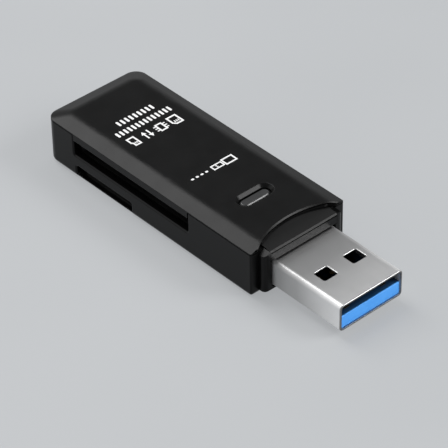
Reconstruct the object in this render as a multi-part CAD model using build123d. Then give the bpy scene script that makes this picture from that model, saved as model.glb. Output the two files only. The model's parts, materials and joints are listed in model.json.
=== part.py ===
from build123d import *
import os
from math import sqrt

# A plug-in memory card reader, in millimetres.
# +X points out of the plug, the card slots face -Y and +Z is up.

# Plug
plug_width = 12.0
plug_height = 4.5
plug_reach = 13.5
plug_tail = 0.75
shell_sheet = 0.3
shell_corner_radius = 0.65
shell_edge_chamfer = 0.1
shell_seam = 0.08
window_length = 2.25
window_width = 2.5
window_spacing = 5.6
window_shift = 0.4
window_setback = 6.65
window_corner_radius = 0.3
tab_length = 2.6
tab_rise = 1.5
foot_length = 1.2
foot_reach = 0.5

# Insulator and contacts of the plug
tongue_thickness = 2.1
tongue_setback = 0.2
tongue_edge_radius = 0.15
mouth_depth = 11.75
strip_thickness = 0.2
contact_proud = 0.05
blade_width = 1.0
blade_spacings = (-3.5, -1.0, 1.0, 3.5)
power_blade_setback = 1.2
data_blade_setback = 2.2
blade_length = 5.6
blade_slope_length = 1.6
spring_width = 0.7
spring_pitch = 2.0
spring_count = 5
spring_reach = 3.6
spring_lift = 0.4
spring_relief = 0.6
contact_tail = 1.6

# Neck round the plug
cheek = 1.6
sill = 0.55
brow = 1.9
roof_ledge = 0.4
neck_length = 1.3
neck_slope_drop = 0.5
neck_corner_radius = 0.8
neck_edge_chamfer = 0.2
collar_depth = 3.2

# Housing
neck_step_side = 1.4
neck_step_base = 0.6
lid_lip = 0.15
bevel_height = 0.9
bevel_width = 2.4
tail_bevel_width = 2.7
lid_blend_radius = 4.5
lid_corner_radius = 1.6
arc_depth = 2.0
arc_radius = 15.4
tail_corner_radius = 2.0
shoulder_corner_radius = 0.3
base_edge_radius = 0.8
arc_chamfer = 0.2
edge_lip = 0.25
edge_groove_height = 0.18
edge_groove_depth = 0.25
slot_chamfer = 0.2
slot_corner_radius = 0.4
wall = 1.2
floor = 0.8
skirt_height = 0.8
skirt_thickness = 0.7
seam_groove_height = 0.12
seam_groove_depth = 0.3
tail_bay = 4.65
front_bay = 9.55

# Posts that hold the board between the covers
post_size = 2.4
post_wall_gap = 1.0
front_post_gap = 2.2
pin_diameter = 1.0
pin_reach = 2.0

# Indicator
indicator_from_shoulder = 8.92
indicator_length = 5.6
indicator_width = 1.9
indicator_rim = 0.5
lens_play = 0.15
lens_recess = 0.5
lens_chamfer = 0.2
lens_flange = 0.5
lens_flange_thickness = 0.5
pipe_length = 3.2
pipe_width = 1.2
pipe_gap = 0.15

# Circuit board and what is soldered to it
board_thickness = 0.8
chip_size = 6.0
chip_thickness = 0.85
chip_gap = 1.4
crystal_length = 3.2
crystal_width = 2.5
crystal_thickness = 0.7
regulator_length = 2.9
regulator_width = 1.6
regulator_thickness = 1.1
regulator_lead = 0.4
regulator_lead_pitch = 0.95
small_part_spacing = 2.6
small_part_gap = 0.7
front_capacitor_count = 4
lamp_resistor_count = 2
chip_part_length = 1.0
chip_part_width = 0.5
chip_part_thickness = 0.45
chip_part_end = 0.2
chip_part_end_rim = 0.03
chip_chamfer = 0.08
crystal_corner_radius = 0.35
led_length = 1.6
led_width = 0.8
led_base_thickness = 0.35
led_dome_length = 1.2
led_dome_height = 0.3
led_dome_edge_radius = 0.15

# Large card and its socket
card_width = 24.0
card_thickness = 2.1
card_contact_count = 9
card_contact_pitch = 2.5
card_contact_width = 1.0
card_contact_reach = 4.2
card_bed = 0.55
card_headroom = 0.3
card_side_play = 0.2
card_rail = 0.9
card_header = 2.2
card_sheet = 0.2
card_finger_length = 4.4
card_finger_width = 5.0
card_detect_arm = 3.6
card_slot_margin = 0.75

# Small card and its socket
micro_width = 11.0
micro_thickness = 0.7
micro_contact_count = 8
micro_contact_pitch = 1.1
micro_contact_width = 0.6
micro_contact_reach = 3.2
micro_bed = 0.5
micro_headroom = 0.25
micro_side_play = 0.1
micro_rail = 0.65
micro_header = 1.6
micro_sheet = 0.15
micro_finger_length = 3.4
micro_finger_width = 2.4
micro_detect_arm = 1.2
micro_slot_margin = 0.8
micro_slot_room = 0.85
micro_inset = 0.85

# Springs in both sockets
crown_share = 0.75
crown_lift = 0.4
detect_lean = 0.8
detect_root_share = 0.33
finger_slit = 0.35

# Clearances
fit = 0.05
board_gap = 0.2
mouth_gap = 0.3
solder_reach = 0.6
contact_gap = 0.1
tolerance = 0.01

# Places along X
card_socket_length = card_width + 2 * (card_side_play + card_rail + card_sheet)
micro_socket_length = micro_width + 2 * (micro_side_play + micro_rail + micro_sheet)
body_length = wall + tail_bay + card_socket_length + front_bay + collar_depth
tail_x = -(body_length + neck_length + plug_reach) / 2
shoulder_x = tail_x + body_length
neck_x = shoulder_x + neck_length
tip_x = neck_x + plug_reach
collar_x = shoulder_x - collar_depth
shell_rear_x = collar_x - plug_tail
board_front_x = shell_rear_x - fit
card_socket_tail_x = tail_x + wall + tail_bay
card_socket_front_x = card_socket_tail_x + card_socket_length
card_x = (card_socket_tail_x + card_socket_front_x) / 2
micro_x = card_socket_tail_x + micro_inset + micro_socket_length / 2
chip_x = micro_x + micro_socket_length / 2 + chip_gap + chip_size / 2
side_parts_x = chip_x + chip_size / 2 + small_part_gap + crystal_length / 2
front_parts_x = side_parts_x + crystal_length / 2 + small_part_gap + chip_part_length / 2
indicator_x = shoulder_x - indicator_from_shoulder
arc_x = shoulder_x - arc_depth + arc_radius
block_front_x = tip_x - mouth_depth

# Places along Y
plug_half = plug_width / 2
roof_half = plug_half + roof_ledge
neck_half = plug_half + cheek
body_half = neck_half + neck_step_side
inner_half = body_half - wall
board_half = inner_half - board_gap
post_y = inner_half - post_wall_gap - post_size / 2

# Places along Z
plug_base = neck_step_base + sill
plug_top = plug_base + plug_height
plug_middle = (plug_base + plug_top) / 2
seam_z = plug_top + brow
crease_z = seam_z + lid_lip
top_z = crease_z + bevel_height
roof_z = plug_top + fit
tongue_top = plug_base + shell_sheet + tongue_thickness
board_top = tongue_top + contact_proud - strip_thickness
board_base = board_top - board_thickness
card_slot_base = board_top + card_bed
card_slot_top = card_slot_base + card_thickness + card_headroom
micro_slot_top = board_base - micro_bed
micro_slot_base = micro_slot_top - micro_thickness - micro_headroom - micro_slot_room

post_places = [
    (card_socket_tail_x - tail_bay / 2, -post_y),
    (card_socket_tail_x - tail_bay / 2, post_y),
    (card_socket_front_x + front_post_gap, -post_y),
    (card_socket_front_x + front_post_gap, post_y),
]
pin_places = [post_places[0], post_places[-1]]


standing = (Align.CENTER, Align.CENTER, Align.MIN)
hanging = (Align.CENTER, Align.CENTER, Align.MAX)


def block(x0, x1, y0, y1, z0, z1):
    """A rectangular block between two corners."""
    size = Box(x1 - x0, y1 - y0, z1 - z0)
    return Pos((x0 + x1) / 2, (y0 + y1) / 2, (z0 + z1) / 2) * size


def plan(x0, x1, half, tail_radius, front_radius):
    """A rectangle seen from above, with its own corner radii at the tail and at the front."""
    outline = Pos((x0 + x1) / 2, 0) * Rectangle(x1 - x0, 2 * half)
    if tail_radius > 0:
        outline = fillet(outline.vertices().sort_by(Axis.X)[:2], tail_radius)
    if front_radius > 0:
        outline = fillet(outline.vertices().sort_by(Axis.X)[-2:], front_radius)
    return outline


def upright(outline, z0, z1):
    """A plan outline raised from z0 to z1."""
    return extrude(Pos(0, 0, z0) * outline, z1 - z0)


def along_x(outline, x0, x1):
    """An outline drawn in Y and Z, drawn out from x0 to x1."""
    section = Plane.YZ.offset(x0) * outline
    return extrude(section, x1 - x0)


def plug_section(grow):
    """The plug's rounded outline in Y and Z, grown by a clearance or shrunk by a sheet."""
    outline = RectangleRounded(plug_width + 2 * grow, plug_height + 2 * grow, shell_corner_radius + grow)
    return Pos(0, plug_middle) * outline


def strip_outline(points, thickness):
    """A bent strip of even thickness about a line of points, with mitred bends."""
    line = [Vector(u, v) for u, v in points]
    left = []
    right = []
    for index, point in enumerate(line):
        before = (point - line[index - 1]).normalized() if index > 0 else None
        after = (line[index + 1] - point).normalized() if index + 1 < len(line) else None
        before = before or after
        after = after or before
        turn = (before + after).normalized()
        normal = Vector(-turn.Y, turn.X)
        reach = thickness / 2 / turn.dot(after)
        left.append(point + normal * reach)
        right.append(point - normal * reach)
    corners = [(point.X, point.Y) for point in left + right[::-1]]
    return make_face(Polyline(*corners, close=True))


def strip_in_xz(points, thickness, width, y):
    """A bent strip that runs along X and Z, centred on y."""
    section = Plane.XZ.offset(-y) * strip_outline(points, thickness)
    return extrude(section, width / 2, both=True)


def strip_in_yz(points, thickness, width, x):
    """A bent strip that runs along Y and Z, centred on x."""
    section = Plane.YZ.offset(x) * strip_outline(points, thickness)
    return extrude(section, width / 2, both=True)


def row(count, pitch):
    """Centres of an evenly spaced row about zero."""
    return [(index - (count - 1) / 2) * pitch for index in range(count)]


# Housing

def body_plan(inset, front_x):
    """The body's outline from above, drawn in by an inset, up to front_x."""
    front_radius = max(shoulder_corner_radius - inset, 0)
    return plan(tail_x + inset, front_x, body_half - inset, tail_corner_radius - inset, front_radius)


def neck_solid():
    """The stepped neck in front of the shoulder, as both covers form it together."""
    slope_z = seam_z - neck_slope_drop
    outline = Polyline(
        (-neck_half, neck_step_base),
        (neck_half, neck_step_base),
        (neck_half, slope_z),
        (roof_half, seam_z),
        (-roof_half, seam_z),
        (-neck_half, slope_z),
        close=True,
    )
    neck = along_x(make_face(outline), collar_x, neck_x)
    upright_edges = neck.edges().filter_by(Axis.Z).group_by(Axis.X)[-1]
    neck = fillet(upright_edges, neck_corner_radius)
    front_edges = neck.faces().sort_by(Axis.X)[-1].edges().filter_by(Axis.Y)
    return chamfer(front_edges, neck_edge_chamfer)


def plug_passage():
    """The way for the plug through the lower neck, open upwards so that the plug drops in."""
    around = along_x(plug_section(fit), collar_x, neck_x)
    above = block(collar_x, neck_x, -plug_half - fit, plug_half + fit, plug_middle, roof_z)
    roof = block(collar_x, neck_x, -roof_half - fit, roof_half + fit, roof_z, top_z)
    return around + above + roof


def slot_edges(solid, x0, x1, z0, z1):
    """The edges of an opening where it breaks the outside of the slotted wall."""
    outside = solid.edges().filter_by(lambda edge: edge.bounding_box().max.Y < -body_half + fit)
    return outside.filter_by(
        lambda edge: x0 - fit < edge.center().X < x1 + fit and z0 - fit < edge.center().Z < z1
    )


def make_bottom_case():
    shell = upright(body_plan(0, shoulder_x), 0, seam_z)
    shell = fillet(shell.faces().sort_by(Axis.Z)[0].edges(), base_edge_radius)
    cavity = plan(tail_x + wall, collar_x, inner_half, tail_corner_radius - wall, 0)
    shell -= upright(cavity, floor, seam_z)
    groove = body_plan(0, shoulder_x) - body_plan(seam_groove_depth, shoulder_x - seam_groove_depth)
    shell -= upright(groove, seam_z - seam_groove_height, seam_z)

    card_half = card_width / 2 + card_slot_margin
    card_notch = Plane.XZ * (
        Pos(card_x, (card_slot_base + top_z) / 2) * RectangleRounded(
            2 * card_half, top_z - card_slot_base, slot_corner_radius
        )
    )
    card_opening = extrude(Pos(0, -inner_half, 0) * card_notch, wall)
    micro_half = micro_width / 2 + micro_slot_margin
    micro_height = micro_slot_top - micro_slot_base
    micro_notch = Plane.XZ * (
        Pos(micro_x, (micro_slot_base + micro_slot_top) / 2) * RectangleRounded(
            2 * micro_half, micro_height, slot_corner_radius
        )
    )
    micro_opening = extrude(Pos(0, -inner_half, 0) * micro_notch, wall)
    shell = shell - card_opening - micro_opening
    rim_z = seam_z - seam_groove_height
    card_edges = slot_edges(shell, card_x - card_half, card_x + card_half, card_slot_base, rim_z)
    shell = chamfer(card_edges, slot_chamfer)
    micro_z = micro_slot_top + fit
    micro_edges = slot_edges(shell, micro_x - micro_half, micro_x + micro_half, micro_slot_base, micro_z)
    shell = chamfer(micro_edges, slot_chamfer)

    shell = shell + neck_solid() - plug_passage()
    for x, y in post_places:
        shell += Pos(x, y, floor) * Box(post_size, post_size, board_base - floor, align=standing)
    pin_length = board_thickness + pin_reach
    for x, y in pin_places:
        shell += Pos(x, y, board_base) * Cylinder(pin_diameter / 2, pin_length, align=standing)
    return shell


def lid_blank():
    """The lid's slab: a flat top with a sloping border on three sides, running on past the shoulder."""
    front_x = shoulder_x + arc_depth
    low = plan(tail_x, front_x, body_half, tail_corner_radius, 0)
    high = plan(tail_x + tail_bevel_width, front_x, body_half - bevel_width, lid_corner_radius, 0)
    slope = loft([Pos(0, 0, crease_z) * low, Pos(0, 0, top_z) * high], ruled=True)
    top_edges = slope.faces().sort_by(Axis.Z)[-1].edges()
    border = top_edges.filter_by(lambda edge: edge.center().X < front_x - fit)
    return fillet(border, lid_blend_radius) + upright(low, seam_z, crease_z)


def pill(length, width):
    """A pill-shaped outline across the body, centred on the indicator."""
    return Pos(indicator_x, 0) * SlotOverall(length, width, rotation=90)


def tops_arc(edge):
    """Whether an edge runs along the upper side of the arc at the lid's front."""
    reaches = [sqrt((end.X - arc_x) ** 2 + end.Y ** 2) for end in edge.vertices()]
    on_arc = max(abs(reach - arc_radius) for reach in reaches) < tolerance
    return on_arc and edge.center().Z > crease_z + tolerance


def arc_groove(slab):
    """A shadow line just under the arc's upper edge, as deep below the lid's face all along."""
    reach = Pos(arc_x, 0, seam_z) * Cylinder(arc_radius + edge_groove_depth, top_z - seam_z, align=standing)
    layer = Pos(0, 0, -edge_lip) * slab - Pos(0, 0, -edge_lip - edge_groove_height) * slab
    return layer & reach


def make_top_cover():
    slab = lid_blank()
    lid = slab - Pos(arc_x, 0, seam_z) * Cylinder(arc_radius, top_z - seam_z, align=standing)
    lid = chamfer(lid.edges().filter_by(tops_arc), arc_chamfer)
    lid -= arc_groove(slab)
    lid &= upright(body_plan(0, shoulder_x), seam_z, top_z)
    lid -= upright(pill(indicator_length, indicator_width), seam_z, top_z)
    opening_edges = lid.faces().sort_by(Axis.Z)[-1].inner_wires()[0].edges()
    lid = chamfer(opening_edges, indicator_rim)

    roof = block(collar_x, neck_x, -roof_half, roof_half, roof_z, seam_z)
    groove_top = seam_z - edge_lip
    groove_x = neck_x - edge_groove_depth
    roof -= block(groove_x, neck_x, -roof_half, roof_half, groove_top - edge_groove_height, groove_top)
    lid += roof & neck_solid()

    card_half = card_width / 2 + card_slot_margin - fit
    flange = block(card_x - card_half, card_x + card_half, -body_half, -inner_half, card_slot_top, seam_z)
    lower_edge = flange.edges().filter_by(Axis.X).group_by(Axis.Z)[0].sort_by(Axis.Y)[0]
    lid += chamfer(lower_edge, slot_chamfer)

    outer = plan(tail_x + wall + fit, collar_x, inner_half - fit, tail_corner_radius - wall - fit, 0)
    inner_inset = wall + fit + skirt_thickness
    inner = plan(tail_x + inner_inset, collar_x, body_half - inner_inset, 0, 0)
    lid += upright(outer - inner, seam_z - skirt_height, seam_z)

    for x, y in post_places:
        lid += Pos(x, y, board_top) * Box(post_size, post_size, seam_z - board_top, align=standing)
    for x, y in pin_places:
        lid -= Pos(x, y, board_top) * Cylinder(pin_diameter / 2 + fit, pin_reach + fit, align=standing)
    return lid


def make_light_pipe():
    head_outline = pill(indicator_length - 2 * lens_play, indicator_width - 2 * lens_play)
    head = upright(head_outline, seam_z, top_z - lens_recess)
    head = chamfer(head.faces().sort_by(Axis.Z)[-1].edges(), lens_chamfer)
    flange_size = (indicator_width + 2 * lens_flange, indicator_length + 2 * lens_flange)
    flange = Pos(indicator_x, 0) * Rectangle(*flange_size)
    pipe = Pos(indicator_x, 0) * Rectangle(pipe_width, pipe_length)
    led_top = board_top + led_base_thickness + led_dome_height
    lens = head + upright(flange, seam_z - lens_flange_thickness, seam_z)
    return lens + upright(pipe, led_top + pipe_gap, seam_z - lens_flange_thickness)


# Plug

def make_usb_shell():
    tube = along_x(plug_section(0) - plug_section(-shell_sheet), shell_rear_x, tip_x)
    rim = tube.faces().sort_by(Axis.X)[-1].outer_wire().edges()
    tube = chamfer(rim, shell_edge_chamfer)
    window = RectangleRounded(window_length, window_width, window_corner_radius)
    for side in (-1, 1):
        place = Pos(tip_x - window_setback, window_shift + side * window_spacing / 2, plug_base)
        tube -= place * extrude(window, plug_height)
    tube -= block(shell_rear_x, tip_x, -shell_seam / 2, shell_seam / 2, plug_base, plug_base + shell_sheet)
    for side in (-1, 1):
        y0 = min(side * plug_half, side * (plug_half - shell_sheet))
        y1 = y0 + shell_sheet
        tube += block(shell_rear_x - tab_length, shell_rear_x, y0, y1, board_top, board_top + tab_rise)
        foot_x = shell_rear_x - tab_length
        tube += block(foot_x, foot_x + foot_length, y0, y1, board_base - foot_reach, board_top)
    return tube


def blade_path(setback):
    """The line of a flat contact: along the tongue's top, down inside it and back under the board."""
    low_z = board_base - strip_thickness / 2
    high_z = tongue_top + contact_proud - strip_thickness / 2
    front_x = tip_x - setback
    bend_x = front_x - blade_length
    return [
        (board_front_x - contact_tail, low_z),
        (bend_x - blade_slope_length, low_z),
        (bend_x, high_z),
        (front_x, high_z),
    ]


def blade_setback(index):
    """The two outer blades carry the power and reach further forward."""
    return power_blade_setback if index in (0, len(blade_spacings) - 1) else data_blade_setback


def spring_path():
    """The line of a sprung contact: from the board's top through the block, over the tongue."""
    root_z = board_top + strip_thickness / 2
    crown_x = block_front_x + spring_reach
    return [
        (board_front_x - contact_tail, root_z),
        (block_front_x, root_z),
        (crown_x - spring_lift, root_z + spring_lift),
        (crown_x, root_z + spring_lift),
        (crown_x + spring_lift, root_z),
    ]


def make_usb_insulator():
    inside = plug_section(-shell_sheet - fit)
    body = along_x(inside, shell_rear_x, tip_x - tongue_setback)
    body -= block(block_front_x, tip_x, -plug_half, plug_half, tongue_top, plug_top)
    tip_edges = body.faces().sort_by(Axis.X)[-1].edges().filter_by(Axis.Y)
    body = fillet(tip_edges, tongue_edge_radius)
    for index, y in enumerate(blade_spacings):
        path = blade_path(blade_setback(index))
        body -= strip_in_xz(path, strip_thickness, blade_width, y)
    half = spring_width / 2 + contact_gap
    relief_x = block_front_x + spring_reach + spring_relief
    relief_z = tongue_top - spring_relief
    for y in row(spring_count, spring_pitch):
        body -= strip_in_xz(spring_path()[:2], strip_thickness, spring_width, y)
        body -= block(block_front_x, relief_x, y - half, y + half, relief_z, tongue_top)
    return body


# Card sockets, each drawn as if it stood on the face z = 0 with its mouth towards -Y

def socket_frame(width, thickness, bed, headroom, play, rail, header, pitch, count, contact, reach):
    """A moulded frame: a slotted bed, two side rails and a header that carries the contacts."""
    half = width / 2 + play
    mouth_y = -inner_half + mouth_gap
    back_y = board_half - solder_reach
    height = bed + thickness + headroom
    frame = block(-half - rail, half + rail, mouth_y, back_y, 0, height)
    frame -= block(-half, half, mouth_y, back_y - header, bed, height)
    channel = contact / 2 + contact_gap
    for x in row(count, pitch):
        start_y = back_y - header - reach - contact_gap
        frame -= block(x - channel, x + channel, start_y, back_y - header, 0, bed)
        frame -= block(x - channel, x + channel, back_y - header, back_y, 0, strip_thickness + contact_gap)
    lead_in = frame.faces().sort_by(Axis.Y)[0].edges().filter_by(Axis.Z)
    inner_edges = lead_in.filter_by(lambda edge: abs(edge.center().X) < half + fit)
    return chamfer(inner_edges, rail / 2)


def socket_contact(bed, header, reach, contact, x):
    """One sprung card contact, soldered behind the header and bowed up over the bed."""
    header_y = board_half - solder_reach - header
    root_z = strip_thickness / 2
    path = [
        (board_half, root_z),
        (header_y, root_z),
        (header_y - reach * crown_share, bed + crown_lift),
        (header_y - reach, bed),
    ]
    return strip_in_yz(path, strip_thickness, contact, x)


def socket_shield(width, thickness, bed, headroom, play, rail, header, sheet, finger_length, finger_width):
    """A folded cover: a top sheet with two pressed fingers and a flange down each side."""
    half = width / 2 + play + rail
    mouth_y = -inner_half + mouth_gap
    back_y = board_half - solder_reach
    height = bed + thickness + headroom
    outer = Pos(0, (height + sheet) / 2) * Rectangle(2 * (half + sheet), height + sheet)
    inner = Pos(0, height / 2) * Rectangle(2 * half, height)
    section = Plane.XZ.offset(-back_y) * (outer - inner)
    cover = extrude(section, back_y - mouth_y)
    window = Rectangle(finger_width, finger_length)
    finger = Pos(0, finger_slit) * Rectangle(finger_width - 2 * finger_slit, finger_length)
    middle_y = (mouth_y + back_y - header) / 2
    for side in (-1, 1):
        place = Pos(side * half / 2, middle_y, height)
        cover -= place * extrude(window - finger, sheet)
    return cover


def detect_spring(width, thickness, bed, play, header, arm):
    """A leaf at the back of the bay that a card pushes against the header."""
    end_x = width / 2 + play
    root_y = board_half - solder_reach - header - strip_thickness / 2
    path = [
        (end_x, root_y),
        (end_x - arm * detect_root_share, root_y),
        (end_x - arm, root_y - detect_lean),
    ]
    return upright(strip_outline(path, strip_thickness), bed, bed + thickness)


# Board and small parts

def make_circuit_board():
    tail_radius = max(tail_corner_radius - wall - board_gap, fit)
    outline = plan(tail_x + wall + board_gap, board_front_x, board_half, tail_radius, 0)
    board = upright(outline, board_base, board_top)
    hole_radius = pin_diameter / 2 + contact_gap
    for x, y in pin_places:
        board -= Pos(x, y, board_base) * Cylinder(hole_radius, board_thickness, align=standing)
    for side in (-1, 1):
        y = side * (plug_half - shell_sheet / 2)
        half = shell_sheet / 2 + contact_gap
        x0 = shell_rear_x - tab_length - contact_gap
        x1 = x0 + foot_length + 2 * contact_gap
        board -= block(x0, x1, y - half, y + half, board_base, board_top)
    return board


def make_controller_chip():
    chip = Box(chip_size, chip_size, chip_thickness, align=hanging)
    return chamfer(chip.faces().sort_by(Axis.Z)[0].edges(), chip_chamfer)


def make_crystal():
    can = Box(crystal_length, crystal_width, crystal_thickness, align=hanging)
    return fillet(can.edges().filter_by(Axis.Z), crystal_corner_radius)


def make_voltage_regulator():
    body = Box(regulator_length, regulator_width, regulator_thickness - strip_thickness, align=hanging)
    body = Pos(0, 0, -strip_thickness) * body
    lead = Box(regulator_lead, 2 * regulator_lead, strip_thickness, align=hanging)
    riser = Box(regulator_lead, regulator_lead, 2 * strip_thickness, align=hanging)
    for place, side in ((-1, -1), (0, -1), (1, -1), (-1, 1), (1, 1)):
        x = place * regulator_lead_pitch
        body += Pos(x, side * regulator_width / 2, 0) * lead
        body += Pos(x, side * (regulator_width - regulator_lead) / 2, 0) * riser
    return body


def make_chip_part():
    """A small two-ended part, with a metal cap over each end."""
    body = Box(chip_part_length, chip_part_width, chip_part_thickness, align=hanging)
    cap = Box(
        chip_part_end,
        chip_part_width + 2 * chip_part_end_rim,
        chip_part_thickness + chip_part_end_rim,
        align=hanging,
    )
    for side in (-1, 1):
        body += Pos(side * (chip_part_length - chip_part_end) / 2, 0, 0) * cap
    return body


def make_indicator_led():
    base = Box(led_width, led_length, led_base_thickness, align=standing)
    dome = Box(led_width, led_dome_length, led_base_thickness + led_dome_height, align=standing)
    dome = fillet(dome.faces().sort_by(Axis.Z)[-1].edges(), led_dome_edge_radius)
    return base + dome


nodes = {
    "top_cover": make_top_cover(),
    "bottom_case": make_bottom_case(),
    "light_pipe": make_light_pipe(),
    "usb_shell": make_usb_shell(),
    "usb_insulator": make_usb_insulator(),
    "circuit_board": make_circuit_board(),
    "indicator_led": Pos(indicator_x, 0, board_top) * make_indicator_led(),
    "controller_chip": Pos(chip_x, 0, board_base) * make_controller_chip(),
    "crystal": Pos(side_parts_x, -(crystal_width + small_part_gap) / 2, board_base) * make_crystal(),
}

regulator_y = (regulator_width + small_part_gap) / 2 + regulator_lead
nodes["voltage_regulator"] = Pos(side_parts_x, regulator_y, board_base) * make_voltage_regulator()

for index, y in enumerate(blade_spacings):
    path = blade_path(blade_setback(index))
    nodes[f"usb_contact_{index + 1}"] = strip_in_xz(path, strip_thickness, blade_width, y)
for index, y in enumerate(row(spring_count, spring_pitch)):
    nodes[f"usb_fast_contact_{index + 1}"] = strip_in_xz(spring_path(), strip_thickness, spring_width, y)

on_top = Location((card_x, 0, board_top))
nodes["card_socket_frame"] = on_top * socket_frame(
    card_width, card_thickness, card_bed, card_headroom, card_side_play, card_rail, card_header,
    card_contact_pitch, card_contact_count, card_contact_width, card_contact_reach,
)
nodes["card_socket_shield"] = on_top * socket_shield(
    card_width, card_thickness, card_bed, card_headroom, card_side_play, card_rail, card_header,
    card_sheet, card_finger_length, card_finger_width,
)
nodes["card_detect_spring"] = on_top * detect_spring(
    card_width, card_thickness, card_bed, card_side_play, card_header, card_detect_arm
)
for index, x in enumerate(row(card_contact_count, card_contact_pitch)):
    contact = socket_contact(card_bed, card_header, card_contact_reach, card_contact_width, x)
    nodes[f"card_contact_{index + 1}"] = on_top * contact

underneath = Location((micro_x, 0, board_base), (0, 180, 0))
nodes["micro_socket_frame"] = underneath * socket_frame(
    micro_width, micro_thickness, micro_bed, micro_headroom, micro_side_play, micro_rail, micro_header,
    micro_contact_pitch, micro_contact_count, micro_contact_width, micro_contact_reach,
)
nodes["micro_socket_shield"] = underneath * socket_shield(
    micro_width, micro_thickness, micro_bed, micro_headroom, micro_side_play, micro_rail, micro_header,
    micro_sheet, micro_finger_length, micro_finger_width,
)
nodes["micro_detect_spring"] = underneath * detect_spring(
    micro_width, micro_thickness, micro_bed, micro_side_play, micro_header, micro_detect_arm
)
for index, x in enumerate(row(micro_contact_count, micro_contact_pitch)):
    contact = socket_contact(micro_bed, micro_header, micro_contact_reach, micro_contact_width, x)
    nodes[f"micro_contact_{index + 1}"] = underneath * contact

chip_side_y = chip_size / 2 + small_part_gap + chip_part_width / 2
capacitor_places = [(front_parts_x, y) for y in row(front_capacitor_count, small_part_spacing)]
capacitor_places += [(chip_x, -chip_side_y), (chip_x, chip_side_y)]
resistor_places = [(chip_x - chip_part_length - small_part_gap, y) for y in (-chip_side_y, chip_side_y)]
resistor_places += [(indicator_x, y) for y in row(lamp_resistor_count, small_part_spacing)]
for index, (x, y) in enumerate(capacitor_places):
    nodes[f"capacitor_{index + 1}"] = Pos(x, y, board_base) * make_chip_part()
for index, (x, y) in enumerate(resistor_places):
    nodes[f"resistor_{index + 1}"] = Pos(x, y, board_base) * make_chip_part()

os.makedirs("parts", exist_ok=True)
for name, solid in nodes.items():
    export_step(solid, f"parts/{name}.step")
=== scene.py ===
"""Looks of a plug-in memory card reader: satin covers, a plated plug, a smoky lens and printed marks."""
import json
from math import pi, radians

import bmesh
import bpy
from mathutils import Matrix, Vector


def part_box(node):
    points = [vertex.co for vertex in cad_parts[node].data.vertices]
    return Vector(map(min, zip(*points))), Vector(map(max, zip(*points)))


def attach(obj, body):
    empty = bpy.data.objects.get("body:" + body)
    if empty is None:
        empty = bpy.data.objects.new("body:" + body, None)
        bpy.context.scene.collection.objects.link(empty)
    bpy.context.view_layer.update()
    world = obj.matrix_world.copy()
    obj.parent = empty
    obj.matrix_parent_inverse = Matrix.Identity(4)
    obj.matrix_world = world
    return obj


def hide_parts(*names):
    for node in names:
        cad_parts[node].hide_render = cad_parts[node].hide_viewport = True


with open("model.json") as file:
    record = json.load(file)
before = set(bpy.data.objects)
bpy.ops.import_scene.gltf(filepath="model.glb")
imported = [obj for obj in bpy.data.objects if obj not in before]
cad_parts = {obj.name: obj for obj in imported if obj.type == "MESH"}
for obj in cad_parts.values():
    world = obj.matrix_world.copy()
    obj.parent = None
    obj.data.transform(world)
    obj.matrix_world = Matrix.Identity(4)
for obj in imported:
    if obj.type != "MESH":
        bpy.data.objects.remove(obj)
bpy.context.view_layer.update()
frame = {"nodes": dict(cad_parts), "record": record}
nodes = frame["nodes"]

# Sizes of the reader, in metres
MM = 0.001
INK_RISE = 0.012 * MM
NECK_LENGTH = 1.3 * MM
ARC_DEPTH = 2.0 * MM
ARC_RADIUS = 15.4 * MM
SLOTS_LOW = 0.9 * MM
CARD_SLOT_TOP = 6.35 * MM
CREASE_RISE = 0.15 * MM
ROOF_HALF = 6.4 * MM
ROOF_RISE = 0.42 * MM
PLUG_CORNER = 0.65 * MM
MOUTH_GAP = 0.18 * MM
RIM_DEPTH = 0.2 * MM
WINDOWS_NEAR = 4 * MM
WINDOWS_FAR = 9 * MM
WINDOWS_HALF = 5 * MM
TONGUE_SHOWN = 9 * MM

# How near a point has to lie to count as on a surface or an edge
MERGE_REACH = 0.0005 * MM
ROOF_REACH = 10 * MERGE_REACH
FINE_REACH = 0.02 * MM
WALL_REACH = 0.05 * MM
PASSAGE_REACH = 0.1 * MM
SEAM_REACH = 0.2 * MM
LIP_REACH = 0.3 * MM
OPENING_REACH_X = 2 * MM
OPENING_REACH_Y = 4 * MM

# Rounds on edges
SLOT_ROUND = 0.12 * MM
LIP_ROUND = 0.12 * MM
OPENING_ROUND = 0.07 * MM
CREASE_ROUND = 0.04 * MM
RIM_ROUND = 0.035 * MM
WINDOW_ROUND = 0.12 * MM
LENS_ROUND = 0.07 * MM
ROUND_SEGMENTS = 5

# Angles between faces: merged as flat, rounded as an edge, shaded as a crease
FLAT_ANGLE = radians(0.6)
EDGE_ANGLE = radians(24)
CREASE_ANGLE = radians(19)
EVEN_WEIGHT = 80

# Patterns of the finishes, as cells per metre
MOTTLING = (260, 260, 260)
CLOUDS = (140, 140, 140)
FLOOR_CLOUDS = (6, 6, 6)
PATTERN_ROUGHNESS = 0.55

# The plug's folded sides against its flat top: painted shade makes the flat top darker than the sides, and
# the folds are rougher
FLAT_PAINTED_SHADE = (0.78, 0.78, 0.78)
FOLD_ROUGHNESS = 0.36
FOLD_START = 1.3 * PLUG_CORNER
FOLD_END = 0.25 * PLUG_CORNER

# Printed marks: places along X, and the row of signs across Y in millimetres
SIGNS_X = -15.1 * MM
SIGNS_FIRST_Y = 3.6
SIGNS_PITCH = 2.64
MIDDLE_ROW_X = -17.8 * MM
TAIL_ROW_X = -19.9 * MM
FRONT_ROW_X = -2.35 * MM
BAR_END_SHARE = 0.45
BAR_END_STEPS = 4

# The floor, and how much of it shows its own colour rather than the light on it
FLOOR_SIZE = 6.0
FLOOR_DROP = 0.02 * MM
FLOOR_SHOWN = 0.65

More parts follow.
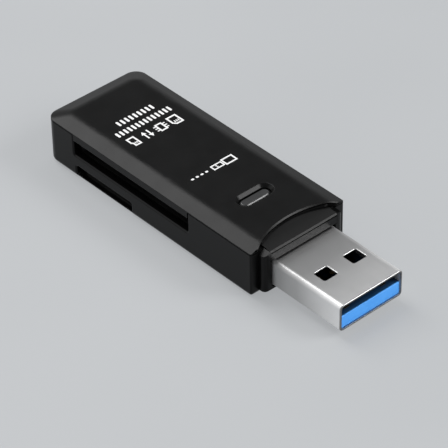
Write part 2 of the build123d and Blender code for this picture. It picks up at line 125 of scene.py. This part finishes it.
lid_low, lid_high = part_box("top_cover")
tray_low, tray_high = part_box("bottom_case")
plug_low, plug_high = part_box("usb_shell")
lens_low, lens_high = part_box("light_pipe")
tongue_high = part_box("usb_insulator")[1]
top_z = lid_high.z
seam_z = tray_high.z
shoulder_x = tray_high.x - NECK_LENGTH
arc_x = shoulder_x - ARC_DEPTH + ARC_RADIUS
lens_x = (lens_low.x + lens_high.x) / 2


# Materials

def new_finish(name):
    """A fresh node material with its shader and its object coordinates."""
    material = bpy.data.materials.new(name)
    material.use_nodes = True
    tree = material.node_tree
    shader = tree.nodes["Principled BSDF"]
    coords = tree.nodes.new("ShaderNodeTexCoord")
    return material, tree, shader, coords.outputs["Object"]


def grain(tree, coords, per_metre, detail=3.0):
    """A noise pattern with its own density along each axis."""
    mapping = tree.nodes.new("ShaderNodeMapping")
    mapping.inputs["Scale"].default_value = per_metre
    noise = tree.nodes.new("ShaderNodeTexNoise")
    noise.inputs["Scale"].default_value = 1.0
    noise.inputs["Detail"].default_value = detail
    noise.inputs["Roughness"].default_value = PATTERN_ROUGHNESS
    tree.links.new(coords, mapping.inputs["Vector"])
    tree.links.new(mapping.outputs["Vector"], noise.inputs["Vector"])
    return noise.outputs["Fac"]


def along(tree, coords, axis):
    """One of the three object coordinates."""
    split = tree.nodes.new("ShaderNodeSeparateXYZ")
    tree.links.new(coords, split.inputs["Vector"])
    return split.outputs[axis]


def spread(tree, value, low, high, out_low, out_high):
    """Maps a pattern's middle range onto a working range."""
    remap = tree.nodes.new("ShaderNodeMapRange")
    remap.inputs["From Min"].default_value = low
    remap.inputs["From Max"].default_value = high
    remap.inputs["To Min"].default_value = out_low
    remap.inputs["To Max"].default_value = out_high
    tree.links.new(value, remap.inputs["Value"])
    return remap.outputs["Result"]


def tint(tree, value, stops):
    """Colours along a pattern, as pairs of place and colour."""
    ramp = tree.nodes.new("ShaderNodeValToRGB")
    elements = ramp.color_ramp.elements
    while len(elements) < len(stops):
        elements.new(0.5)
    for element, (place, color) in zip(elements, stops):
        element.position = place
        element.color = (*color, 1.0)
    tree.links.new(value, ramp.inputs["Fac"])
    return ramp.outputs["Color"]


def times(tree, first, second):
    """Two colours multiplied."""
    product = tree.nodes.new("ShaderNodeMix")
    product.data_type = "RGBA"
    product.blend_type = "MULTIPLY"
    product.inputs["Factor"].default_value = 1.0
    tree.links.new(first, product.inputs["A"])
    tree.links.new(second, product.inputs["B"])
    return product.outputs["Result"]


def relief(tree, shader, value, height):
    """A fine surface relief from a pattern."""
    bump = tree.nodes.new("ShaderNodeBump")
    bump.inputs["Distance"].default_value = height
    bump.inputs["Strength"].default_value = 1.0
    tree.links.new(value, bump.inputs["Height"])
    tree.links.new(bump.outputs["Normal"], shader.inputs["Normal"])


def toned(tree, coords, painted_shade):
    """A painted shade: a grey tone between two places along X, as pairs of place and tone."""
    start, end, stops = painted_shade
    inward = spread(tree, along(tree, coords, "X"), start, end, 0.0, 1.0)
    return tint(tree, inward, [(place, (tone, tone, tone)) for place, tone in stops])


def folded(tree, coords, sides):
    """How far a place across Y lies round the fold: 0 on the flat middle and 1 on the sides."""
    flat_half, side_half = sides
    across = tree.nodes.new("ShaderNodeMath")
    across.operation = "ABSOLUTE"
    tree.links.new(along(tree, coords, "Y"), across.inputs[0])
    return spread(tree, across.outputs["Value"], flat_half, side_half, 0.0, 1.0)


def plus(tree, first, second):
    """Two values added."""
    total = tree.nodes.new("ShaderNodeMath")
    total.operation = "ADD"
    tree.links.new(first, total.inputs[0])
    tree.links.new(second, total.inputs[1])
    return total.outputs["Value"]


def moulded(name, dark, light, rough_low, rough_high, level, grain_mm, height, painted_shade=None):
    """Moulded plastic: faint mottling, uneven sheen and the mould's grain; an optional painted shade darkens
    it along X.
    """
    material, tree, shader, coords = new_finish(name)
    mottling = grain(tree, coords, MOTTLING)
    fine = grain(tree, coords, (1 / (grain_mm * MM),) * 3, detail=2.0)
    color = tint(tree, mottling, [(0.35, dark), (0.65, light)])
    # painted shade along X, when given
    if painted_shade:
        color = times(tree, color, toned(tree, coords, painted_shade))
    tree.links.new(color, shader.inputs["Base Color"])
    sheen = spread(tree, mottling, 0.3, 0.7, rough_low, rough_high)
    tree.links.new(sheen, shader.inputs["Roughness"])
    shader.inputs["Specular IOR Level"].default_value = level
    relief(tree, shader, fine, height)
    return material


def sheet_metal(name, dark, light, rough_low, rough_high, streaks, height, painted_shade=None, sides=None):
    """Rolled or plated sheet: fine streaks and a cloudy sheen; an optional painted shade tones it along X,
    and painted shade makes its flat middle darker than its folded sides, which are also rougher."""
    material, tree, shader, coords = new_finish(name)
    shader.inputs["Metallic"].default_value = 1.0
    lines = grain(tree, coords, streaks, detail=4.0)
    clouds = grain(tree, coords, CLOUDS)
    color = tint(tree, clouds, [(0.3, dark), (0.7, light)])
    sheen = spread(tree, lines, 0.3, 0.7, rough_low, rough_high)
    # painted shade along X, when given
    if painted_shade:
        color = times(tree, color, toned(tree, coords, painted_shade))
    if sides:
        fold = folded(tree, coords, sides)
        # painted shade: the flat middle is darker than the folded sides
        color = times(tree, color, tint(tree, fold, [(0.0, FLAT_PAINTED_SHADE), (1.0, (1.0, 1.0, 1.0))]))
        sheen = plus(tree, sheen, spread(tree, fold, 0.0, 1.0, 0.0, FOLD_ROUGHNESS))
    tree.links.new(color, shader.inputs["Base Color"])
    tree.links.new(sheen, shader.inputs["Roughness"])
    relief(tree, shader, lines, height)
    return material


# Painted shade along X, as pairs of place and tone: the tongue is bright at its front and dark further in
# where the plug's shell shades it, the contacts darken deeper in the plug, and the plating is darker at its
# root and on its front rim, which dims the rim's highlight. The plug's sides fold down from its flat middle
# across Y.
tongue_root_x = tongue_high.x - TONGUE_SHOWN
tongue_painted_shade = (tongue_root_x, tongue_high.x, [(0.0, 0.02), (0.9, 0.06), (0.972, 0.13), (0.986, 1.0)])
contact_painted_shade = (tongue_root_x, tongue_high.x, [(0.0, 0.02), (0.6, 0.04), (0.9, 0.3)])
plug_painted_tones = [(0.0, 0.66), (0.1, 0.56), (0.36, 0.6), (0.75, 0.9), (0.98, 1.0), (0.986, 0.78), (0.999, 0.22)]
plug_painted_shade = (tray_high.x, plug_high.x, plug_painted_tones)
plug_sides = (plug_high.y - FOLD_START, plug_high.y - FOLD_END)

# One finish for each slot of the record: darkest and lightest colour, range of roughness, then for a
# moulding its gloss level, the size of its grain in millimetres and the grain's height, and for a sheet its
# streaks as cells per metre and their height, and last any painted shade along X and, for the plug, across
# its folds
finishes = {
    "housing_black": moulded(
        "satin black moulding", (0.0022, 0.0022, 0.0022), (0.0032, 0.0032, 0.0032), 0.29, 0.34, 0.16,
        0.09, 0.001 * MM,
    ),
    "lens_grey": moulded(
        "smoky lens", (0.028, 0.0285, 0.029), (0.040, 0.0405, 0.041), 0.16, 0.22, 0.5, 0.3, 0.0006 * MM
    ),
    # painted shade: the plating darker at its root and front rim, and its flat top darker than its folded
    # sides
    "plug_steel": sheet_metal(
        "plated plug sheet with painted shade", (0.90, 0.90, 0.90), (0.98, 0.98, 0.98), 0.3, 0.37, (300, 9000, 9000),
        0.0008 * MM, plug_painted_shade, plug_sides,
    ),
    # painted shade: the tongue dark behind its bright front
    "tongue_blue": moulded(
        "blue tongue moulding with painted shade", (0.07, 0.36, 0.94), (0.085, 0.40, 0.99), 0.38, 0.46, 0.4,
        0.08, 0.0015 * MM, tongue_painted_shade,
    ),
    "contact_gold": sheet_metal(
        "gilded strip", (0.34, 0.25, 0.12), (0.44, 0.33, 0.17), 0.3, 0.4, (900, 6000, 6000), 0.0006 * MM
    ),
    "board_green": moulded(
        "solder mask", (0.012, 0.10, 0.045), (0.02, 0.16, 0.07), 0.25, 0.38, 0.5, 0.5, 0.003 * MM
    ),
    "socket_black": moulded(
        "socket moulding", (0.004, 0.004, 0.004), (0.007, 0.007, 0.007), 0.5, 0.6, 0.3, 0.08, 0.002 * MM
    ),
    "socket_steel": sheet_metal(
        "folded socket sheet", (0.5, 0.5, 0.51), (0.62, 0.62, 0.63), 0.3, 0.4, (9000, 400, 9000), 0.001 * MM
    ),
    "chip_black": moulded(
        "chip package", (0.012, 0.012, 0.013), (0.02, 0.02, 0.021), 0.5, 0.62, 0.4, 0.06, 0.003 * MM
    ),
    "crystal_can": sheet_metal(
        "drawn can", (0.62, 0.6, 0.56), (0.74, 0.72, 0.68), 0.24, 0.32, (4000, 4000, 900), 0.001 * MM
    ),
    "capacitor_tan": moulded(
        "fired ceramic", (0.32, 0.2, 0.11), (0.42, 0.28, 0.16), 0.4, 0.5, 0.5, 0.05, 0.002 * MM
    ),
    "resistor_black": moulded(
        "coated ceramic", (0.015, 0.015, 0.018), (0.03, 0.03, 0.034), 0.3, 0.4, 0.5, 0.05, 0.002 * MM
    ),
    "led_white": moulded(
        "lamp dome", (0.72, 0.74, 0.7), (0.84, 0.86, 0.82), 0.15, 0.25, 0.5, 0.1, 0.001 * MM
    ),
    "print_white": moulded(
        "white screen print", (0.78, 0.78, 0.78), (0.86, 0.86, 0.86), 0.45, 0.55, 0.3, 0.05, 0.001 * MM
    ),
}

# painted shade: the contacts in the plug darken deeper inside it
plug_strip_with_painted_shade = sheet_metal(
    "gilded strip with painted shade in the plug", (0.34, 0.25, 0.12), (0.44, 0.33, 0.17), 0.3, 0.4, (900, 6000, 6000),
    0.0006 * MM, contact_painted_shade,
)

for part in frame["record"]["subparts"]:
    mesh = nodes[part["node"]].data
    mesh.materials.clear()
    in_plug = part["node"].startswith(("usb_contact", "usb_fast_contact"))
    mesh.materials.append(plug_strip_with_painted_shade if in_plug else finishes[part["material_slot"]])


# Pieces that stand for a CAD node, with small rounds on their edges

def soften(bm, where, width):
    """Rounds the convex edges whose middle passes a test."""
    picked = []
    for edge in bm.edges:
        if len(edge.link_faces) != 2 or not edge.is_convex:
            continue
        if edge.calc_face_angle() < EDGE_ANGLE:
            continue
        middle = (edge.verts[0].co + edge.verts[1].co) / 2
        if where(middle):
            picked.append(edge)
    bmesh.ops.bevel(
        bm, geom=picked, offset=width, offset_type="OFFSET", segments=ROUND_SEGMENTS, profile=0.5,
        affect="EDGES", clamp_overlap=False, loop_slide=False,
    )


def keep_inside(bm, low, high):
    """Brings stray points back inside the node's own box."""
    for vert in bm.verts:
        vert.co = [min(max(place, least), most) for place, least, most in zip(vert.co, low, high)]


def stand_in(node, name, slot, rounds, reshape=None):
    """A merged copy of a CAD node with rounded edges and even shading."""
    bm = bmesh.new()
    bm.from_mesh(nodes[node].data)
    bmesh.ops.remove_doubles(bm, verts=bm.verts, dist=MERGE_REACH)
    bmesh.ops.dissolve_limit(bm, angle_limit=FLAT_ANGLE, verts=bm.verts, edges=bm.edges)
    if reshape:
        reshape(bm)
    for where, width in rounds:
        soften(bm, where, width)
    keep_inside(bm, *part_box(node))
    mesh = bpy.data.meshes.new(name)
    bm.to_mesh(mesh)
    bm.free()
    mesh.shade_smooth()
    mesh.set_sharp_from_angle(angle=CREASE_ANGLE)
    piece = bpy.data.objects.new(name, mesh)
    bpy.context.scene.collection.objects.link(piece)
    even = piece.modifiers.new("even shading", "WEIGHTED_NORMAL")
    even.keep_sharp = True
    even.weight = EVEN_WEIGHT
    shaded = bpy.data.meshes.new_from_object(piece.evaluated_get(bpy.context.evaluated_depsgraph_get()))
    piece.modifiers.remove(even)
    piece.data = shaded
    shaded.materials.clear()
    shaded.materials.append(finishes[slot])
    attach(piece, "root")
    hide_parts(node)


def open_mouth(bm):
    """Widens the front of the plug's passage, so that a shadow line runs round the plug."""
    core_half = plug_high.y - PLUG_CORNER
    core_low, core_high = plug_low.z + PLUG_CORNER, plug_high.z - PLUG_CORNER
    for vert in bm.verts:
        beside = abs(vert.co.y) < plug_high.y + PASSAGE_REACH
        level = plug_low.z - PASSAGE_REACH < vert.co.z < plug_high.z + PASSAGE_REACH
        if vert.co.x > tray_high.x - FINE_REACH and beside and level:
            core_y = min(max(vert.co.y, -core_half), core_half)
            core_z = min(max(vert.co.z, core_low), core_high)
            vert.co += MOUTH_GAP * (vert.co - Vector((vert.co.x, core_y, core_z))).normalized()


def settle_lid(bm):
    """Lowers the flat top by the ink's thickness, tilts the neck's roof and lifts its front lower edge."""
    arc_rear_x = arc_x - ARC_RADIUS
    for vert in bm.verts:
        if vert.co.z > top_z - MERGE_REACH:
            vert.co.z -= INK_RISE
        if vert.co.x > tray_high.x - FINE_REACH and vert.co.z < plug_high.z + PASSAGE_REACH:
            vert.co.z += MOUTH_GAP
        on_roof = abs(vert.co.z - seam_z) < ROOF_REACH and abs(vert.co.y) < ROOF_HALF + ROOF_REACH
        if on_roof and vert.co.x > arc_rear_x - ROOF_REACH:
            vert.co.z += ROOF_RISE * (tray_high.x - vert.co.x) / (tray_high.x - arc_rear_x)


def on_slots(point):
    """Both card slots' edges on the tray's near wall."""
    return point.y < tray_low.y + WALL_REACH and SLOTS_LOW < point.z < seam_z - SEAM_REACH


def on_flange_lip(point):
    """The lid's edge above the large slot."""
    return point.y < lid_low.y + WALL_REACH and point.z < CARD_SLOT_TOP + LIP_REACH


def on_opening(point):
    """The indicator's opening in the lid."""
    beside = abs(point.x - lens_x) < OPENING_REACH_X and abs(point.y) < OPENING_REACH_Y
    return beside and point.z > seam_z + LIP_REACH


def on_crease(point):
    """The line at the foot of the lid's sloping border."""
    return abs(point.z - seam_z - CREASE_RISE) < FINE_REACH


def on_plug_rim(point):
    """The plug's front edges."""
    return point.x > plug_high.x - RIM_DEPTH


def on_windows(point):
    """The windows in the plug's top and bottom."""
    return plug_high.x - WINDOWS_FAR < point.x < plug_high.x - WINDOWS_NEAR and abs(point.y) < WINDOWS_HALF


def on_lens_head(point):
    """The lens's upper edge."""
    return point.z > seam_z + SEAM_REACH


stand_in("bottom_case", "tray", "housing_black", [(on_slots, SLOT_ROUND)], open_mouth)
stand_in(
    "top_cover", "lid", "housing_black",
    [(on_opening, OPENING_ROUND), (on_flange_lip, LIP_ROUND), (on_crease, CREASE_ROUND)],
    settle_lid,
)
stand_in("usb_shell", "plug_sheet", "plug_steel", [(on_plug_rim, RIM_ROUND), (on_windows, WINDOW_ROUND)])
stand_in("usb_insulator", "tongue", "tongue_blue", [])
stand_in("light_pipe", "lens", "lens_grey", [(on_lens_head, LENS_ROUND)])


# Printed marks on the lid: rows of bars made by a node tree, and plain signs drawn with strokes

def group_input(tree, name, kind, value):
    """A named input of a node tree, with its first value."""
    socket = tree.interface.new_socket(name, in_out="INPUT", socket_type=kind)
    socket.default_value = value
    return socket.identifier


def bar_tree():
    """A row of round-ended bars across the lid, with named sizes."""
    tree = bpy.data.node_groups.new("printed bars", "GeometryNodeTree")
    names = {
        "Count": group_input(tree, "Count", "NodeSocketInt", 6),
        "Pitch": group_input(tree, "Pitch", "NodeSocketFloat", MM),
        "Length": group_input(tree, "Length", "NodeSocketFloat", MM),
        "Width": group_input(tree, "Width", "NodeSocketFloat", MM),
        "Rise": group_input(tree, "Rise", "NodeSocketFloat", INK_RISE),
        "Start": group_input(tree, "Start", "NodeSocketVector", (0, 0, 0)),
        "Ink": group_input(tree, "Ink", "NodeSocketMaterial", None),
    }
    tree.interface.new_socket("Geometry", in_out="OUTPUT", socket_type="NodeSocketGeometry")
    new = tree.nodes.new
    link = tree.links.new
    given = new("NodeGroupInput").outputs
    bar = new("GeometryNodeCurvePrimitiveQuadrilateral")
    link(given["Length"], bar.inputs["Width"])
    link(given["Width"], bar.inputs["Height"])
    narrow = new("ShaderNodeMath")
    narrow.operation = "MINIMUM"
    link(given["Length"], narrow.inputs[0])
    link(given["Width"], narrow.inputs[1])
    half = new("ShaderNodeMath")
    half.operation = "MULTIPLY"
    half.inputs[1].default_value = BAR_END_SHARE
    link(narrow.outputs["Value"], half.inputs[0])
    ends = new("GeometryNodeFilletCurve")
    ends.mode = "POLY"
    ends.inputs["Count"].default_value = BAR_END_STEPS
    link(bar.outputs["Curve"], ends.inputs["Curve"])
    link(half.outputs["Value"], ends.inputs["Radius"])
    face = new("GeometryNodeFillCurve")
    face.mode = "NGONS"
    link(ends.outputs["Curve"], face.inputs["Curve"])
    thick = new("GeometryNodeExtrudeMesh")
    thick.inputs["Individual"].default_value = False
    link(face.outputs["Mesh"], thick.inputs["Mesh"])
    link(given["Rise"], thick.inputs["Offset Scale"])
    under = new("GeometryNodeFlipFaces")
    link(face.outputs["Mesh"], under.inputs["Mesh"])
    both = new("GeometryNodeJoinGeometry")
    link(under.outputs["Mesh"], both.inputs["Geometry"])
    link(thick.outputs["Mesh"], both.inputs["Geometry"])
    whole = new("GeometryNodeMergeByDistance")
    whole.inputs["Distance"].default_value = MERGE_REACH
    link(both.outputs["Geometry"], whole.inputs["Geometry"])
    step = new("ShaderNodeCombineXYZ")
    link(given["Pitch"], step.inputs["Y"])
    line = new("GeometryNodeMeshLine")
    link(given["Count"], line.inputs["Count"])
    link(given["Start"], line.inputs["Start Location"])
    link(step.outputs["Vector"], line.inputs["Offset"])
    row = new("GeometryNodeInstanceOnPoints")
    link(line.outputs["Mesh"], row.inputs["Points"])
    link(whole.outputs["Geometry"], row.inputs["Instance"])
    real = new("GeometryNodeRealizeInstances")
    link(row.outputs["Instances"], real.inputs["Geometry"])
    inked = new("GeometryNodeSetMaterial")
    link(real.outputs["Geometry"], inked.inputs["Geometry"])
    link(given["Ink"], inked.inputs["Material"])
    link(inked.outputs["Geometry"], new("NodeGroupOutput").inputs["Geometry"])
    return tree, names


bars, bar_inputs = bar_tree()


def printed(piece):
    """Fixes a printed mark to the lid."""
    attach(piece, "root")


def printed_row(name, x, y_low, y_high, count, length, width):
    """One row of bars between two places across the lid; length runs along X and width along Y."""
    piece = bpy.data.objects.new(name, bpy.data.meshes.new(name))
    bpy.context.scene.collection.objects.link(piece)
    modifier = piece.modifiers.new("bars", "NODES")
    modifier.node_group = bars
    sizes = {
        "Count": count,
        "Pitch": (y_high - y_low - width) / (count - 1),
        "Length": length,
        "Width": width,
        "Rise": INK_RISE,
        "Start": (x, y_low + width / 2, top_z - INK_RISE),
        "Ink": finishes["print_white"],
    }
    for key, value in sizes.items():
        modifier[bar_inputs[key]] = value
    made = bpy.data.meshes.new_from_object(piece.evaluated_get(bpy.context.evaluated_depsgraph_get()))
    piece.modifiers.remove(modifier)
    piece.data = made
    printed(piece)


def stroke(points, width):
    """The quads of a closed line of even width with mitred corners, drawn across and up in millimetres."""
    outer = []
    inner = []
    for index, point in enumerate(points):
        before = (Vector(point) - Vector(points[index - 1])).normalized()
        after = (Vector(points[(index + 1) % len(points)]) - Vector(point)).normalized()
        turn = (before + after).normalized()
        side = Vector((-turn.y, turn.x)) * (width / 2 / turn.dot(after))
        outer.append(Vector(point) + side)
        inner.append(Vector(point) - side)
    count = len(points)
    return [
        [outer[index], outer[(index + 1) % count], inner[(index + 1) % count], inner[index]]
        for index in range(count)
    ]


def patch(across, up, width, height):
    """One filled rectangle about its middle."""
    half_width, half_height = width / 2, height / 2
    return [[
        (across - half_width, up - half_height),
        (across + half_width, up - half_height),
        (across + half_width, up + half_height),
        (across - half_width, up + half_height),
    ]]


def large_card():
    """A card with one clipped corner and three contacts."""
    shapes = stroke([(-0.8, -0.95), (0.8, -0.95), (0.8, 0.5), (0.35, 0.95), (-0.8, 0.95)], 0.3)
    for across in (-0.42, -0.08, 0.26):
        shapes += patch(across, 0.36, 0.18, 0.5)
    return shapes


def small_card():
    """A narrower card with a step in its side."""
    shapes = stroke([(-0.6, -0.95), (0.6, -0.95), (0.6, 0.1), (0.36, 0.34), (0.36, 0.95), (-0.6, 0.95)], 0.28)
    for across in (-0.28, 0.02):
        shapes += patch(across, 0.42, 0.16, 0.44)
    return shapes


def chip():
    """A square package with legs on two sides."""
    shapes = stroke([(-0.52, -0.8), (0.52, -0.8), (0.52, 0.8), (-0.52, 0.8)], 0.28)
    for up in (-0.52, 0.0, 0.52):
        for side in (-1, 1):
            shapes += patch(side * 0.88, up, 0.44, 0.22)
    return shapes


def two_way_arrow():
    """Two arrows side by side, one each way."""
    arrow = [(-0.13, -0.95), (0.13, -0.95), (0.13, 0.2), (0.42, 0.2), (0.0, 0.95), (-0.42, 0.2), (-0.13, 0.2)]
    up_arrow = [(across - 0.46, up) for across, up in arrow]
    down_arrow = [(0.46 - across, -up) for across, up in arrow]
    return [up_arrow, down_arrow]


def plug_sign():
    """A plug seen from above, with its two windows."""
    shapes = stroke([(-2.2, -0.65), (-0.3, -0.65), (-0.3, 0.65), (-2.2, 0.65)], 0.26)
    shapes += stroke([(0.05, -0.45), (1.9, -0.45), (1.9, 0.45), (0.05, 0.45)], 0.22)
    for up in (-0.16, 0.16):
        shapes += patch(1.1, up, 0.32, 0.16)
    return shapes


def printed_sign(name, x, y, shapes):
    """A sign of flat shapes in ink, read from the far side with the plug's end up."""
    bm = bmesh.new()
    for shape in shapes:
        corners = [bm.verts.new((x + up * MM, y - across * MM, top_z - INK_RISE)) for across, up in shape]
        bm.faces.new(corners)
    bmesh.ops.remove_doubles(bm, verts=bm.verts, dist=MERGE_REACH)
    raised = bmesh.ops.extrude_face_region(bm, geom=bm.faces[:], use_keep_orig=True)
    tops = [item for item in raised["geom"] if isinstance(item, bmesh.types.BMVert)]
    bmesh.ops.translate(bm, vec=(0, 0, INK_RISE), verts=tops)
    bmesh.ops.recalc_face_normals(bm, faces=bm.faces)
    mesh = bpy.data.meshes.new(name)
    bm.to_mesh(mesh)
    bm.free()
    mesh.materials.append(finishes["print_white"])
    piece = bpy.data.objects.new(name, mesh)
    bpy.context.scene.collection.objects.link(piece)
    printed(piece)


signs = [
    ("sign_large_card", large_card),
    ("sign_chip", chip),
    ("sign_arrows", two_way_arrow),
    ("sign_small_card", small_card),
]
for place, (name, draw) in enumerate(signs):
    printed_sign(name, SIGNS_X, (SIGNS_FIRST_Y - SIGNS_PITCH * place) * MM, draw())
printed_row("print_middle_row", MIDDLE_ROW_X, -5.3 * MM, 5.0 * MM, 14, 1.2 * MM, 0.4 * MM)
printed_row("print_tail_row", TAIL_ROW_X, -3.4 * MM, 3.4 * MM, 9, 1.2 * MM, 0.4 * MM)
printed_sign("sign_plug", FRONT_ROW_X, 1.6 * MM, plug_sign())
printed_row("print_front_row", FRONT_ROW_X, -4.4 * MM, -1.2 * MM, 4, 0.36 * MM, 0.5 * MM)


# Floor, light and camera

def make_floor():
    """A plain pale floor, shown brighter than it lights the reader, with the reader's shadow on it."""
    bpy.ops.mesh.primitive_plane_add(size=FLOOR_SIZE, location=(0, 0, tray_low.z - FLOOR_DROP))
    floor = bpy.context.object
    floor.name = "floor"
    material, tree, shader, coords = new_finish("pale floor")
    cloud = grain(tree, coords, FLOOR_CLOUDS)
    color = tint(tree, cloud, [(0.3, (0.48, 0.495, 0.51)), (0.7, (0.53, 0.545, 0.56))])
    tree.links.new(color, shader.inputs["Base Color"])
    shader.inputs["Roughness"].default_value = 0.7
    glow = tree.nodes.new("ShaderNodeEmission")
    tree.links.new(color, glow.inputs["Color"])
    rays = tree.nodes.new("ShaderNodeLightPath")
    seen = rays.outputs["Is Camera Ray"]
    for kind in ("Is Glossy Ray", "Is Transmission Ray"):
        either = tree.nodes.new("ShaderNodeMath")
        either.operation = "MAXIMUM"
        tree.links.new(seen, either.inputs[0])
        tree.links.new(rays.outputs[kind], either.inputs[1])
        seen = either.outputs["Value"]
    share = spread(tree, seen, 0.0, 1.0, 0.0, FLOOR_SHOWN)
    blend = tree.nodes.new("ShaderNodeMixShader")
    tree.links.new(share, blend.inputs["Fac"])
    tree.links.new(shader.outputs["BSDF"], blend.inputs[1])
    tree.links.new(glow.outputs["Emission"], blend.inputs[2])
    tree.links.new(blend.outputs["Shader"], tree.nodes["Material Output"].inputs["Surface"])
    floor.data.materials.append(material)


def softbox(name, towards, distance, width, height, radiance):
    """A soft panel that faces the reader from one direction, with its brightness as radiance."""
    panel = bpy.data.lights.new(name, "AREA")
    panel.shape = "RECTANGLE"
    panel.size = width
    panel.size_y = height
    panel.energy = radiance * pi * width * height
    place = bpy.data.objects.new(name, panel)
    direction = Vector(towards).normalized()
    place.location = direction * distance
    place.rotation_euler = direction.to_track_quat("Z", "Y").to_euler()
    bpy.context.scene.collection.objects.link(place)


def make_light():
    """An even backdrop and the studio's soft panels: direction, distance, width, height and radiance."""
    world = bpy.data.worlds.new("studio")
    world.use_nodes = True
    backdrop = world.node_tree.nodes["Background"]
    backdrop.inputs["Color"].default_value = (0.97, 0.985, 1.0, 1.0)
    backdrop.inputs["Strength"].default_value = 0.31
    bpy.context.scene.world = world
    softbox("strip light", (-0.59, -0.04, 0.81), 0.6, 0.26, 0.5, 5.4)
    softbox("top light", (-0.18, 0.52, 0.83), 0.6, 0.22, 0.22, 1.6)
    softbox("low light", (-0.85, 0.55, 0.16), 0.7, 0.6, 0.3, 0.4)
    softbox("side light", (-0.59, -0.66, 0.36), 0.6, 0.6, 0.5, 0.9)
    softbox("back light", (0.61, 0.52, 0.60), 0.5, 0.22, 0.2, 10.8)
    softbox("front light", (0.95, 0.05, 0.3), 0.5, 0.3, 0.25, 1.4)


def make_camera():
    """The photograph's view: a long lens, turned slightly about its own axis."""
    lens = bpy.data.cameras.new("camera")
    lens.sensor_width = 36.0
    lens.lens = 205.08
    lens.clip_start = 0.01
    azimuth, elevation, roll = radians(48.548), radians(38.318), radians(-1.012)
    target = Vector((2.185, -2.319, 2.097)) * MM
    turn = Matrix.Rotation(azimuth, 4, "Z") @ Matrix.Rotation(radians(90) - elevation, 4, "X")
    distance = 367.8 * MM
    back_off = Matrix.Translation((0, 0, distance))
    camera = bpy.data.objects.new("camera", lens)
    camera.matrix_world = Matrix.Translation(target) @ turn @ back_off @ Matrix.Rotation(roll, 4, "Z")
    bpy.context.scene.collection.objects.link(camera)
    bpy.context.scene.camera = camera


make_floor()
make_light()
make_camera()
bpy.context.scene.view_settings.view_transform = "Standard"
